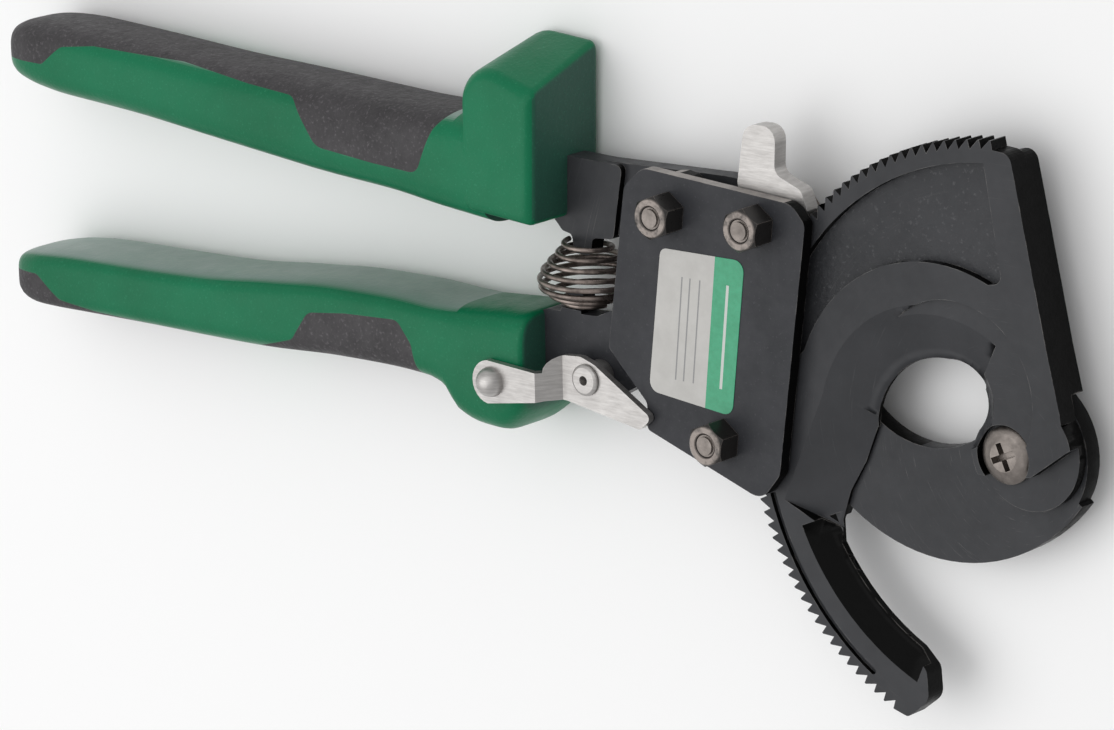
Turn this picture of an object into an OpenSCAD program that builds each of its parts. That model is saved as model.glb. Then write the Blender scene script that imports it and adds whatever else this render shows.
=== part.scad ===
// Ratchet cable cutter, lying on its back. Millimetres.
// X runs from the grips to the jaws, Y from the moving grip to the fixed grip, Z out of the front plate.
// Every sub-part is drawn about the blade pivot (x = 0, y = 0) with z = 0 on the shear plane between
// the blades;
// place() then moves the whole tool so that the origin is at the bottom centre of its bounding box.

/* [Head] */
// thickness of the rear frame plate and fixed blade
rear_t = 3.6; // [3:0.1:4.5]
// thickness of the front side plate
front_t = 2.4; // [1.8:0.1:3.5]
// clear distance between the frame plate and the front plate
gap_t = 5.1; // [4.6:0.1:6.5]
// radius of the rounded end of the fixed blade at the pivot
end_r = 14.4; // [12.5:0.1:16]
// radius of the round cable seat in the fixed blade
seat_r = 18.5; // [16.5:0.1:19]

/* [Moving blade] */
// radius of the rack over its tooth tips
tip_r = 54.5; // [53:0.1:54.6]
// depth of the rack teeth
tooth_h = 1.6; // [1.3:0.1:2.2]
// angle from one rack tooth to the next
tooth_deg = 2.5; // [2:0.5:5]
// thickness of the blade where it passes the fixed blade
blade_t = 4.3; // [3.6:0.1:4.4]
// how far the thick arm reaches behind the shear plane
arm_back = 3.3; // [1.5:0.1:3.5]
// depth of the forged pocket in the front face
pocket_d = 1.6; // [0.6:0.1:1.9]

/* [Fasteners] */
// bolt shank radius
bolt_r = 2.0; // [1.7:0.05:2.4]
// hex nut and bolt head size across the flats
nut_af = 7.0; // [6.2:0.1:8.4]
// hex nut height
nut_h = 5.0; // [4:0.1:6]
// radius of the pivot screw's head
screw_r = 5.05; // [4.2:0.05:5.4]
// radius of the pivot bolt's shoulder
shoulder_r = 3.5; // [3:0.1:4]

/* [Lever and pawls] */
// thickness of the operating lever
lever_t = 4.5; // [3.8:0.1:4.6]
// thickness of the release lever
release_t = 3.2; // [2.6:0.1:3.4]
// thickness of the drive pawl
pawl_t = 2.0; // [1.5:0.1:2.1]

/* [Grips] */
// half depth of both grips, front to back
grip_rz = 10.0; // [8.5:0.1:10]
// thickness of the soft inlays
inlay_t = 1.4; // [1:0.1:1.8]
// wire diameter of the handle spring
wire_d = 1.0; // [0.8:0.1:1.2]
// radius of the handle spring's widest coil, to the wire's centre
coil_r = 8.7; // [7:0.1:9]

/* [Latch] */
// sheet thickness of the latch
sheet_t = 1.4; // [1.1:0.1:1.6]
// radius of the latch's thumb button
button_r = 2.8; // [2:0.05:3]

/* [Hidden] */
face_gap = 0.1;
front_z = gap_t - face_gap;
plate_top = front_z + front_t;
rear_z = -face_gap - rear_t;
blade_top = face_gap + blade_t;
b1 = [-69.8, 33.0];
b2 = [-50.0, 33.6];
b3 = [-58.0, -6.3];
pin_xy = [-60.2, 32.2];
latch_xy = [-87.7, 0.1];
seat_xy = [-19, 16];
grip_zc = 1.7;
lever_z = 0.2;
sleeve_r = 3.0;
rivet_r = 2.9;
boss_z = 2.0;
washer_t = 0.8;
nut_pivot_af = 10;
spring_seat_z = -2.2;
spring_lip_z = 3.1;
black = [0.12, 0.12, 0.13];
steel = [0.45, 0.42, 0.4];
zinc = [0.75, 0.76, 0.78];
green = [0.0, 0.36, 0.22];
grey = [0.22, 0.22, 0.23];

function polar(r, a) = [r * cos(a), r * sin(a)];
function arc(c, r, a0, a1, n) = [for (i = [0:n]) c + polar(r, a0 + (a1 - a0) * i / n)];
function unit(v) = v / norm(v);
// corner p between a and b, cut to an arc of radius r
function corner(a, p, b, r, n) =
    let (u = unit(a - p), v = unit(b - p), h = acos(u * v) / 2, d = r / tan(h), c = p + unit(u + v)
        * r / sin(h))
    let (s = p + u * d - c, e = p + v * d - c, turn = sign(s[0] * e[1] - s[1] * e[0]))
    [for (i = [0:n]) c + [
        s[0] * cos(turn * (180 - 2 * h) * i / n) - s[1] * sin(turn * (180 - 2 * h) * i / n),
        s[0] * sin(turn * (180 - 2 * h) * i / n) + s[1] * cos(turn * (180 - 2 * h) * i / n)]];
// closed outline whose points are [x, y, corner radius]
function rounded(p, n = 5) = [for (i = [0:len(p) - 1])
    let (a = p[(i + len(p) - 1) % len(p)], q = p[i], b = p[(i + 1) % len(p)])
    each (q[2] == 0 ? [[q[0], q[1]]] : corner([a[0], a[1]], [q[0], q[1]], [b[0], b[1]], q[2], n))];

module slab(z0, z1) translate([0, 0, z0]) linear_extrude(height = z1 - z0) children();
module rod(p, r, z0, z1) translate([p[0], p[1], z0]) cylinder(r = r, h = z1 - z0, $fn = 48);
module hexrod(p, af, z0, z1, turn = 0)
    translate([p[0], p[1], z0]) rotate([0, 0, turn]) cylinder(r = af / sqrt(3), h = z1 - z0, $fn = 6);

// skin through oval stations [x, y centre, half height, half depth], squareness q
function oval(a, ry, rz, q) = [
    sign(sin(a)) * ry * pow(abs(sin(a)), q),
    sign(cos(a)) * rz * pow(abs(cos(a)), q)];
module loft(st, zc, q, shrink, n = 24) {
    m = len(st);
    pts = [for (s = st) for (k = [0:n - 1])
        let (o = oval(k * 360 / n, max(0.4, s[2] - shrink), max(0.4, s[3] - shrink), q))
        [s[0] + (s == st[0] ? shrink : s == st[m - 1] ? -shrink : 0), s[1] + o[0], zc + o[1]]];
    sides = [for (i = [0:m - 2]) for (k = [0:n - 1])
        [i * n + k, i * n + (k + 1) % n, (i + 1) * n + (k + 1) % n, (i + 1) * n + k]];
    caps = [[for (k = [0:n - 1]) n - 1 - k], [for (k = [0:n - 1]) (m - 1) * n + k]];
    polyhedron(points = pts, faces = concat(sides, caps), convexity = 4);
}

// ---------- fixed side ----------
module frame_outline() {
    difference() {
        union() {
            polygon(rounded([[-84.5, 20, 2], [-84.8, 24, 1.5], [-90, 26, 0], [-90, 38.3, 0],
                [-62.5, 39.3, 0],
                [-46, 38.5, 3], [-47.9, 27, 1],
                [-38, 17.4, 2], [-34, -8, 0], [-38, -18.7, 0], [-52, -14.7, 4], [-75.2, -6.9, 2],
                [-75.2, -1, 2], [-83.2, 6.4, 2]]));
            intersection() {
                translate([-15.5, 13.5]) circle(r = 35.6, $fn = 96);
                polygon([[-38, -18.7], [-34, -24], [14, -24], [14, -8], [0, 4], [-37.6, 10]]);
            }
            circle(r = end_r, $fn = 72);
        }
        translate(seat_xy) circle(r = seat_r, $fn = 72);
        circle(r = shoulder_r + 0.02, $fn = 48);
        for (b = [b1, b2, b3]) translate(b) circle(r = bolt_r + 0.02, $fn = 48);
    }
}
module tang_outline() {
    polygon(rounded([[-85.2, 38.2, 1.2], [-87.5, 24.4, 1], [-92.3, 24.0, 1], [-92.9, 20.6, 1],
        [-96.6, 20.6, 1], [-97.2, 24.0, 1], [-99.4, 24.4, 1], [-102.5, 27.6, 3],
        [-114, 30.4, 6], [-150, 32.4, 0], [-204, 36.6, 2], [-204, 44.6, 2], [-150, 41.2, 0],
            [-118, 40, 6],
        [-101, 38.5, 0]]));
}
module fixed_blade_frame() {
    color(black) union() {
        slab(rear_z, -face_gap) frame_outline();
        difference() {
            slab(rear_z, 1.2) tang_outline();
            // the spring's tab is thinner than the tang
            slab(rear_z - 1, spring_seat_z) translate([-98, 19]) square([7, 4.7]);
        }
    }
}

module front_plate_outline() {
    polygon(rounded([[-83.7, 6.4, 1.2], [-79.6, 36.6, 3], [-75.4, 40.4, 3], [-42.2, 38.5, 4],
        [-39.4, 35.2, 2],
        [-45.2, -10.6, 3], [-49.2, -15.8, 3.5], [-75, -7.3, 1], [-75, -2.4, 1.5]]));
}
module front_plate() {
    color(black) difference() {
        slab(front_z, plate_top) front_plate_outline();
        for (b = [b1, b2, b3]) rod(b, bolt_r + 0.02, front_z - 1, plate_top + 1);
    }
}

module housing_bolts() {
    color(steel) for (b = [b1, b2, b3]) {
        rod(b, bolt_r, rear_z, plate_top + nut_h - 0.3);
        rod(b, bolt_r - 0.35, plate_top + nut_h - 0.3, plate_top + nut_h + 0.1);
        hexrod(b, nut_af, rear_z - 2.8, rear_z, 10);
    }
}
module housing_nuts() {
    color(black) for (b = [b1, b2, b3]) difference() {
        intersection() {
            hexrod(b, nut_af, plate_top, plate_top + nut_h, 24);
            translate([b[0], b[1], plate_top])
                cylinder(r1 = nut_af * 0.62 + nut_h * 0.9, r2 = nut_af * 0.47, h = nut_h, $fn = 48);
            translate([b[0], b[1], plate_top])
                cylinder(r1 = nut_af * 0.56, r2 = nut_af * 0.56 + nut_h * 1.8, h = nut_h, $fn = 48);
        }
        rod(b, bolt_r + 0.02, plate_top - 1, plate_top + nut_h + 1);
        translate([b[0], b[1], plate_top + nut_h - 0.35])
            cylinder(r1 = bolt_r + 0.02, r2 = bolt_r + 0.5, h = 0.5, $fn = 48);
    }
}
module spacer_sleeves() {
    color(steel) for (b = [b1, b2, b3]) difference() {
        rod(b, b == b3 ? 3.3 : sleeve_r, -face_gap, front_z);
        rod(b, bolt_r + 0.03, -1, front_z + 1);
    }
}

module pivot_nut() {
    color(steel) difference() {
        union() {
            hexrod([0, 0], nut_pivot_af, rear_z - washer_t - 3, rear_z - washer_t, 8);
            rod([0, 0], shoulder_r, rear_z - washer_t - 0.5, boss_z);
        }
        rod([0, 0], 1.62, -4, boss_z + 1);
    }
}
module pivot_washer() {
    color(steel) slab(rear_z - washer_t, rear_z) difference() {
        circle(r = nut_pivot_af * 0.6, $fn = 60);
        circle(r = shoulder_r + 0.02, $fn = 48);
    }
}
module pivot_screw() {
    color(steel) difference() {
        union() {
            rod([0, 0], 1.6, -3.8, boss_z + 0.2);
            rod([0, 0], screw_r, boss_z + 0.06, boss_z + 0.9);
            translate([0, 0, boss_z + 0.9]) cylinder(r1 = screw_r, r2 = screw_r - 0.7, h = 0.6, $fn = 48);
            translate([0, 0, boss_z + 1.5]) cylinder(r1 = screw_r - 0.7, r2 = screw_r - 2.4, h = 0.6,
                $fn = 48);
        }
        translate([0, 0, boss_z + 1.6]) rotate([0, 0, 25]) {
            cube([5.0, 1.1, 2.6], center = true);
            cube([1.1, 5.0, 2.6], center = true);
        }
    }
}

// ---------- moving blade ----------
first_tooth = 92.5;
hollow_d = 0.6;
bevel_d = 3.2;
bevel_w = 3.6;
arm_clear = 1.8;
// the front face is ground down to a thin cutting edge: its height, the grind's width, and the edge's arc
edge_z = 0.7;
grind_w = 10.5;
edge_c = [-13.8, -0.6];
edge_r = 14.9;
// the straight part of the edge starts here and runs down at this angle
edge_foot = [-28.8, -0.4];
edge_turn = 157.7;
last_tooth = 248;
root_r = tip_r - tooth_h;
teeth_n = floor((last_tooth - first_tooth) / tooth_deg);
function rack() = [for (i = [0:teeth_n - 1])
    let (a = first_tooth + i * tooth_deg)
    each [polar(root_r, a), polar(tip_r, a + 0.12 * tooth_deg), polar(tip_r, a + 0.24 * tooth_deg)]];
module blade_outline() {
    difference() {
        union() {
            difference() {
                polygon(rounded(concat(
                    [[12.9, 2.4, 0], [11.7, 9.5, 0], [9.0, 19.8, 0], [1.2, 52.6, 2.2]],
                    [for (p = rack()) [p[0], p[1], 0]],
                    [[-19.6, -50.4, 1], [-15.1, -46.6, 3], [-15.6, -41.2, 2]],
                    [for (p = arc([0, 0], 42.6, 244, 212, 8)) [p[0], p[1], 0]],
                    [[-36.4, -18.6, 1.5], [-34.6, -13, 0], [-31.4, -7.1, 0], [edge_foot[0],
                        edge_foot[1], 0],
                    [0, -0.4, 0]])));
                // upper cutting edge of the opening
                intersection() {
                    translate(edge_c) circle(r = edge_r, $fn = 72);
                    polygon([[-32, -2], [-12, -2], [-12, 16], [-32, 16]]);
                }
                polygon([[-12.1, -2], [-3.5, -2], [-5.3, 5.5], [-12, 14.3]]);
            }
            translate([3.7, 1.2]) circle(r = 10.5, $fn = 60);
        }
        translate([-12, 7.5]) circle(r = 6.95, $fn = 60);
        circle(r = shoulder_r + 0.05, $fn = 48);
    }
}
module arm_outline() {
    difference() {
        polygon(rounded([[11.7, 9.5, 0], [9.0, 19.8, 0], [1.2, 52.6, 2.2], [-1.9, 51.8, 0],
            [-5.6, 19, 0], [-5.6, 9.5, 0]]));
        circle(r = end_r + arm_clear, $fn = 72);
    }
}
module pocket_outline() {
    difference() {
        intersection() {
            circle(r = 50.6, $fn = 96);
            polygon(rounded([[-4.6, 53, 0], [-0.2, 30.2, 1.6], [-30, 24, 0], [-48, 6, 2],
                [-56, 30, 0], [-40, 56, 0]]));
        }
        translate([-14, 2]) circle(r = 29.7, $fn = 72);
    }
}
module edge_grind() {
    intersection() {
        translate([edge_c[0], edge_c[1], edge_z])
            cylinder(r1 = edge_r - 0.6, r2 = edge_r - 0.6 + grind_w * 1.1, h = (blade_top - edge_z)
                * 1.1, $fn = 72);
        slab(edge_z - 1, blade_top + 2) polygon([[-12, -4], [3, 30], [-60, 40], [-60, -30]]);
    }
    translate([edge_foot[0], edge_foot[1], edge_z]) rotate([0, 0, edge_turn])
        rotate([0, -atan((blade_top - edge_z) / grind_w), 0]) translate([-5, -2, 0]) cube([20, 23, 8]);
}
module moving_blade() {
    color(black) difference() {
        union() {
            slab(face_gap, blade_top) blade_outline();
            slab(-arm_back, face_gap) arm_outline();
        }
        // boss round the pivot, below the thick arm
        slab(boss_z, blade_top + 1) polygon([[16, -14], [16, 5.2], [12.9, 2.9], [5.9, -2.5],
            [-1, -4], [-9, -4], [-9, -14]]);
        rod([0, 0], screw_r + 0.5, boss_z, blade_top + 1);
        // forged pocket
        slab(blade_top - pocket_d, blade_top + 1) pocket_outline();
        // ground hollow round the opening and the steep bevel inside it
        translate([-10.5, 9, blade_top - hollow_d]) cylinder(r = 16.7, h = 4, $fn = 72);
        translate([-11.2, 8.0, blade_top - bevel_d]) cylinder(r1 = 6.2, r2 = 6.2 + bevel_w,
            h = bevel_d + 0.02, $fn = 72);
        edge_grind();
        // milled groove inside the tail's teeth and its round end
        translate([0, 0, blade_top - 0.9]) rotate([0, 0, 197]) rotate_extrude(angle = 41, $fn = 96)
            translate([50.7, 0]) square([1.3, 2]);
        rod(polar(51.35, 238), 0.65, blade_top - 0.9, blade_top + 1);
        // long bevel on the inside of the tail
        rotate([0, 0, 205]) rotate_extrude(angle = 43, $fn = 96)
            polygon([[47.1, blade_top + 0.01], [41.8, 0.9], [38, 0.9], [38, blade_top + 1],
                [47.1, blade_top + 1]]);
    }
}

// ---------- release lever with its holding pawl ----------
hold_xy = polar(tip_r + 0.5, 138);
module release_outline() {
    difference() {
        union() {
            translate(b2) circle(r = 5.1, $fn = 48);
            polygon(rounded([[-54.6, 32.2, 0], [-45.8, 32, 0], [hold_xy[0], hold_xy[1], 0.4],
                [-42.3, 40.4, 1.8],
                [-48.1, 42.6, 2], [-47.8, 50.8, 2.6], [-54.7, 50.6, 3], [-56.2, 40, 0]]));
        }
        translate(b2) circle(r = sleeve_r + 0.06, $fn = 48);
        circle(r = tip_r + 0.3, $fn = 96);
    }
}
module release_lever() {
    color(zinc) slab(front_z - 0.3 - release_t, front_z - 0.3) release_outline();
}
module release_spring() {
    color(steel) difference() {
        union() {
            rod(b2, 4.2, 0.15, 1.15);
            translate([b2[0], b2[1] + 3.8, 0.65]) rotate([0, 90, 0]) cylinder(r = 0.4, h = 2.8, $fn = 24);
            translate([b2[0] - 3.8, b2[1], 0.65]) rotate([-90, 0, 0])
                cylinder(r = 0.4, h = 5.6, $fn = 24);
        }
        rod(b2, sleeve_r + 0.2, 0, 2);
    }
}

// ---------- operating lever ----------
module lever_outline() {
    difference() {
        polygon(rounded([[-204, -2.8, 2], [-204, 3.4, 2], [-150, 4.8, 0], [-112, 6.4, 8], [-100, 10.5, 2],
            [-97.2, 10.5, 0], [-96.6, 13.9, 1], [-92.9, 13.9, 1], [-92.3, 10.6, 0], [-88.6, 10.8, 2],
            [-85.6, 12.2, 1], [-82, 13, 4], [-76.8, 28, 4], [-76.6, 39.4, 6.2], [-63, 39.4, 6.2],
            [-65.4, 26, 3], [-71.2, 12, 4], [-77.2, 0.6, 4], [-86, -4.6, 4], [-104, -4.4, 6],
            [-112, -2.6, 0], [-150, -3, 0]]));
        translate(b1) circle(r = sleeve_r + 0.06, $fn = 48);
        translate(latch_xy) circle(r = 1.72, $fn = 32);
    }
}
module ear_outline() {
    difference() {
        polygon(rounded([[-68, 37.4, 0], [-60, 36.2, 3.6], [-56.4, 32.6, 3.6], [-59.6, 28.2, 3.6],
            [-66, 28, 0]]));
        translate(b1) circle(r = sleeve_r + 0.06, $fn = 48);
        translate(pin_xy) circle(r = 1.52, $fn = 32);
    }
}
module lever() {
    color(black) union() {
        difference() {
            slab(lever_z, lever_z + lever_t) lever_outline();
            // the spring's tab is thinner than the lever
            slab(spring_lip_z, lever_z + lever_t + 1) translate([-98, 11.2]) square([7, 4]);
        }
        slab(lever_z, 1.6) ear_outline();
    }
}
nose_xy = polar(tip_r + 0.45, 163);
module drive_pawl() {
    color(steel) difference() {
        slab(1.8, 1.8 + pawl_t) difference() {
            union() {
                translate(pin_xy) circle(r = 3.5, $fn = 40);
                polygon(rounded([[-63.6, 31.4, 0], [-59.6, 20, 3], [-53.8, 15.2, 0.6], [nose_xy[0],
                    nose_xy[1], 0],
                    [-56.6, 31, 0]]));
            }
            circle(r = tip_r + 0.4, $fn = 96);
        }
        rod(pin_xy, 1.56, 0, 6);
    }
}
module pawl_pin() {
    color(steel) rod(pin_xy, 1.5, lever_z, 4.8);
}
module pawl_spring() {
    color(steel) difference() {
        union() {
            rod(pin_xy, 2.7, 3.95, 4.75);
            translate([pin_xy[0] + 2.3, pin_xy[1], 4.35]) rotate([90, 0, 8])
                cylinder(r = 0.35, h = 8, $fn = 24);
        }
        rod(pin_xy, 1.7, 3, 6);
    }
}

// ---------- barrel spring between the lever and the tang, one wire swept along its helix ----------
turns = 7.5;
end_coil_r = 4.1;
spring_y0 = 11.2;
spring_y1 = 23.4;
spring_x = -94.3;
spring_z = 0.5;
spring_steps = 20;
function belly(t) = pow(sin(180 * t), 1.3);
function climb(t) = t < 0.1 ? 0.3 * t : t > 0.9 ? 1 - 0.3 * (1 - t) : 0.03 + 0.94 * (t - 0.1) / 0.8;
function wire_at(t) =
    let (r = end_coil_r + (coil_r - end_coil_r) * belly(t), a = 360 * turns * t)
    [spring_x + r * cos(a), spring_y0 + wire_d / 2 + (spring_y1 - spring_y0 - wire_d)
        * climb(t), spring_z + r * sin(a)];
module handle_spring() {
    n = ceil(turns * spring_steps);
    k = 8;
    pts = [for (i = [0:n]) for (j = [0:k - 1])
        let (c = wire_at(i / n), a = 360 * turns * i / n, u = [cos(a), 0, sin(a)])
        c + wire_d / 2 * (cos(360 * j / k) * u + sin(360 * j / k) * [0, 1, 0])];
    sides = [for (i = [0:n - 1]) for (j = [0:k - 1])
        [i * k + j, (i + 1) * k + j, (i + 1) * k + (j + 1) % k, i * k + (j + 1) % k]];
    caps = [[for (j = [0:k - 1]) j], [for (j = [0:k - 1]) n * k + k - 1 - j]];
    color(steel) polyhedron(points = pts, faces = concat(sides, caps), convexity = 10);
}

// ---------- grips ----------
upper_st = [[-236.5, 42.4, 2.6, 4], [-234.8, 42.6, 4.6, 6.4], [-231, 42.6, 5.9, 8],
    [-226, 42.4, 6.7, grip_rz - 0.8],
    [-219, 42, 7.1, grip_rz], [-200, 40.9, 7.2, grip_rz], [-180, 39.3, 7.6, grip_rz],
        [-165, 38.3, 8.1, grip_rz],
    [-150, 37.3, 8.5, grip_rz], [-135, 36.5, 8.6, grip_rz], [-122, 35.7, 9.3, grip_rz],
        [-110, 35, 9.7, grip_rz]];
lower_st = [[-237.2, -2.5, 1.6, 4], [-235.8, -2.6, 3.8, 6.4], [-232, -2.6, 5.2, 8.2],
    [-227, -2.3, 5.8, grip_rz - 0.6],
    [-218, -1.8, 6.1, grip_rz], [-200, -1.3, 6.2, grip_rz], [-182, -0.8, 6.5, grip_rz],
        [-165, 0.3, 7.2, grip_rz],
    [-148, 1.6, 7.4, grip_rz], [-134, 1.9, 7.4, grip_rz], [-126, 1.6, 7.4, grip_rz],
        [-121, 0.9, 8.1, grip_rz],
    [-117.5, -1.2, 10.4, grip_rz], [-113, -1.7, 11.3, grip_rz], [-108, -1.6, 11.6, grip_rz],
    [-104, -0.4, 10.6, grip_rz], [-101, 1.4, 8.9, grip_rz - 0.4]];
guard_top = 59.8;
inlay_proud = 0.15;
// hand guard stations, [y, x centre, half width, half depth], stacked upwards
guard_rz = grip_rz + inlay_proud + 0.15;
guard_st = [[27, -107, 7, grip_rz - 1], [28.6, -106.4, 8.8, guard_rz], [40, -105.8, 8.8, guard_rz],
    [51, -105.2, 8.6, guard_rz], [55, -104.9, 7.9, grip_rz - 0.7], [58, -104.6, 6.4, grip_rz - 2.4],
    [guard_top, -103.8, 4.2, grip_rz - 5]];
module guard() {
    n = 24;
    m = len(guard_st);
    pts = [for (s = guard_st) for (k = [0:n - 1])
        let (o = oval(k * 360 / n, s[2], s[3], 0.3)) [s[1] + o[0], s[0], grip_zc + o[1]]];
    sides = [for (i = [0:m - 2]) for (k = [0:n - 1])
        [i * n + k, (i + 1) * n + k, (i + 1) * n + (k + 1) % n, i * n + (k + 1) % n]];
    caps = [[for (k = [0:n - 1]) k], [for (k = [0:n - 1]) (m - 1) * n + n - 1 - k]];
    difference() {
        polyhedron(points = pts, faces = concat(sides, caps), convexity = 4);
        // slanted top, falling to the front and to the jaws
        translate([-98, 51.2, grip_zc + grip_rz]) rotate([34, 0, 0]) rotate([0, 0, -16])
            translate([-30, 0, -20]) cube([50, 20, 60]);
        // flat back on which the tool lies
        translate([-130, 20, grip_zc - grip_rz - inlay_proud - 5]) cube([50, 50, 5]);
    }
}
module upper_inlay_zone(z0, z1) {
    slab(z0, z1) polygon(rounded([[-240, 41.2, 0], [-222, 41.6, 1], [-217, 45.4, 1.5], [-208, 46.4, 0],
        [-170, 43.9, 0], [-157, 42.8, 2], [-150, 35.4, 3], [-136, 33.6, 0], [-125.6, 33.2, 2],
        [-119.4, 45.6, 0], [-121, 52, 0], [-240, 56, 0]]));
}
module tang_room() {
    slab(rear_z - 0.02, 1.22) polygon([[-96, 20], [-96, 38.7], [-118, 40.1], [-150, 41.3], [-204.1, 44.8],
        [-204.1, 36.4], [-150, 32.3], [-114, 30.3], [-102.4, 27.5], [-99, 20]]);
}
module upper_grip() {
    color(green) difference() {
        union() {
            difference() {
                loft(upper_st, grip_zc, 0.62, 0);
                difference() {
                    upper_inlay_zone(-12, 16);
                    loft(upper_st, grip_zc, 0.62, inlay_t);
                }
            }
            guard();
        }
        tang_room();
    }
}
module upper_inlay() {
    color(grey) difference() {
        intersection() {
            loft(upper_st, grip_zc, 0.62, -inlay_proud);
            upper_inlay_zone(-12, 16);
        }
        loft(upper_st, grip_zc, 0.62, inlay_t);
        guard();
    }
}
module lower_inlay_zone(z0, z1) {
    slab(z0, z1) polygon(rounded([[-172, -12, 0], [-166, -5.6, 0], [-158, -2.6, 2], [-153.4, 3, 2],
        [-144, 4, 0],
        [-131, 4.6, 2.5], [-127.6, 1, 2], [-125.4, -12, 0]]));
}
module lower_end_zone(z0, z1) {
    slab(z0, z1) polygon(rounded([[-242, -2.2, 0], [-227, -1.2, 1.5], [-221, -5, 2], [-212, -6.4, 0],
        [-190, -7.2, 0],
        [-190, -14, 0], [-242, -14, 0]]));
}
module lever_room() {
    slab(lever_z - 0.02, lever_z + lever_t + 0.02) polygon([[-99, -6], [-99, 11], [-112, 6.6], [-150, 5],
        [-204.1, 3.6], [-204.1, -3], [-150, -3.2], [-112, -2.8], [-104, -4.6]]);
}
module lower_grip() {
    color(green) difference() {
        loft(lower_st, grip_zc, 0.5, 0);
        difference() {
            union() {
                lower_inlay_zone(-12, 16);
                lower_end_zone(-12, 16);
            }
            loft(lower_st, grip_zc, 0.5, inlay_t);
        }
        lever_room();
    }
}
module lower_inlay() {
    color(grey) difference() {
        intersection() {
            loft(lower_st, grip_zc, 0.5, -inlay_proud);
            lower_inlay_zone(-12, 16);
        }
        loft(lower_st, grip_zc, 0.5, inlay_t);
    }
}
module lower_end_inlay() {
    color(grey) difference() {
        intersection() {
            loft(lower_st, grip_zc, 0.5, -inlay_proud);
            lower_end_zone(-12, 16);
        }
        loft(lower_st, grip_zc, 0.5, inlay_t);
    }
}

// ---------- latch ----------
latch_low = plate_top + 0.3;
latch_high = grip_zc + grip_rz + 0.3;
module latch_outline() {
    difference() {
        polygon(concat(arc([-107, -2.6], 4.1, 100, 262, 12),
            rounded([[-95.2, -4.5, 0], [-92.3, -4.5, 3], [-75.4, -7.1, 1], [-72.6, -4.6, 1],
                [-85.8, 3.2, 5],
                [-89, 4.2, 3], [-95.5, 3.6, 3]])));
        translate(latch_xy) circle(r = 2.06, $fn = 32);
        translate([-106.6, -2.4]) circle(r = 1.22, $fn = 32);
    }
}
module latch() {
    color(zinc) intersection() {
        translate([0, 10, 0]) rotate([90, 0, 0]) linear_extrude(height = 20)
            polygon([[-112, latch_high], [-97.2, latch_high], [-94.2, latch_low], [-71, latch_low],
                [-71, latch_low + sheet_t], [-93.2, latch_low + sheet_t], [-96.2, latch_high + sheet_t],
                [-112, latch_high + sheet_t]]);
        slab(latch_low - 1, latch_high + sheet_t + 1) latch_outline();
    }
}
module latch_rivet() {
    color(zinc) difference() {
        union() {
            rod(latch_xy, 1.7, lever_z, lever_z + lever_t);
            rod(latch_xy, rivet_r, lever_z + lever_t, latch_low - 0.1);
            rod(latch_xy, 2.0, latch_low - 0.1, latch_low + sheet_t + 0.1);
            rod(latch_xy, rivet_r, latch_low + sheet_t + 0.1, latch_low + sheet_t + 0.5);
            translate([latch_xy[0], latch_xy[1], latch_low + sheet_t + 0.5])
                cylinder(r1 = rivet_r, r2 = rivet_r - 0.5, h = 0.4, $fn = 48);
        }
        rod(latch_xy, 0.85, 0, 16);
    }
}
module latch_button() {
    color(zinc) union() {
        rod([-106.6, -2.4], 1.2, latch_high, latch_high + sheet_t);
        translate([-106.6, -2.4, latch_high + sheet_t]) intersection() {
            sphere(r = button_r, $fn = 48);
            cylinder(r = 4, h = 4, $fn = 48);
        }
    }
}
module label() {
    color([0.9, 0.9, 0.88]) slab(plate_top, plate_top + 0.12)
        polygon(rounded([[-74.4, 0.1, 2], [-71.4, 26.6, 1.5], [-52.6, 26.9, 2], [-55.6, -1.6, 2]]));
}

// the origin is the bottom centre of the whole tool's bounding box
tail_low = -50.3;
org_x = (lower_st[0][0] - inlay_proud + end_r) / 2;
org_y = (guard_top + tail_low) / 2;
org_z = grip_zc - grip_rz - inlay_proud;
module place() translate([-org_x, -org_y, -org_z]) children();

place() {
    fixed_blade_frame();
    moving_blade();
    front_plate();
    pivot_nut();
    pivot_washer();
    pivot_screw();
    housing_bolts();
    housing_nuts();
    spacer_sleeves();
    release_lever();
    release_spring();
    lever();
    drive_pawl();
    pawl_pin();
    pawl_spring();
    handle_spring();
    upper_grip();
    upper_inlay();
    lower_grip();
    lower_inlay();
    lower_end_inlay();
    latch();
    latch_rivet();
    latch_button();
    label();
}
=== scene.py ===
"""Looks of the ratchet cable cutter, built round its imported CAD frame."""
import math

import bpy
import numpy as np
from mathutils import Matrix, Vector


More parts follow.
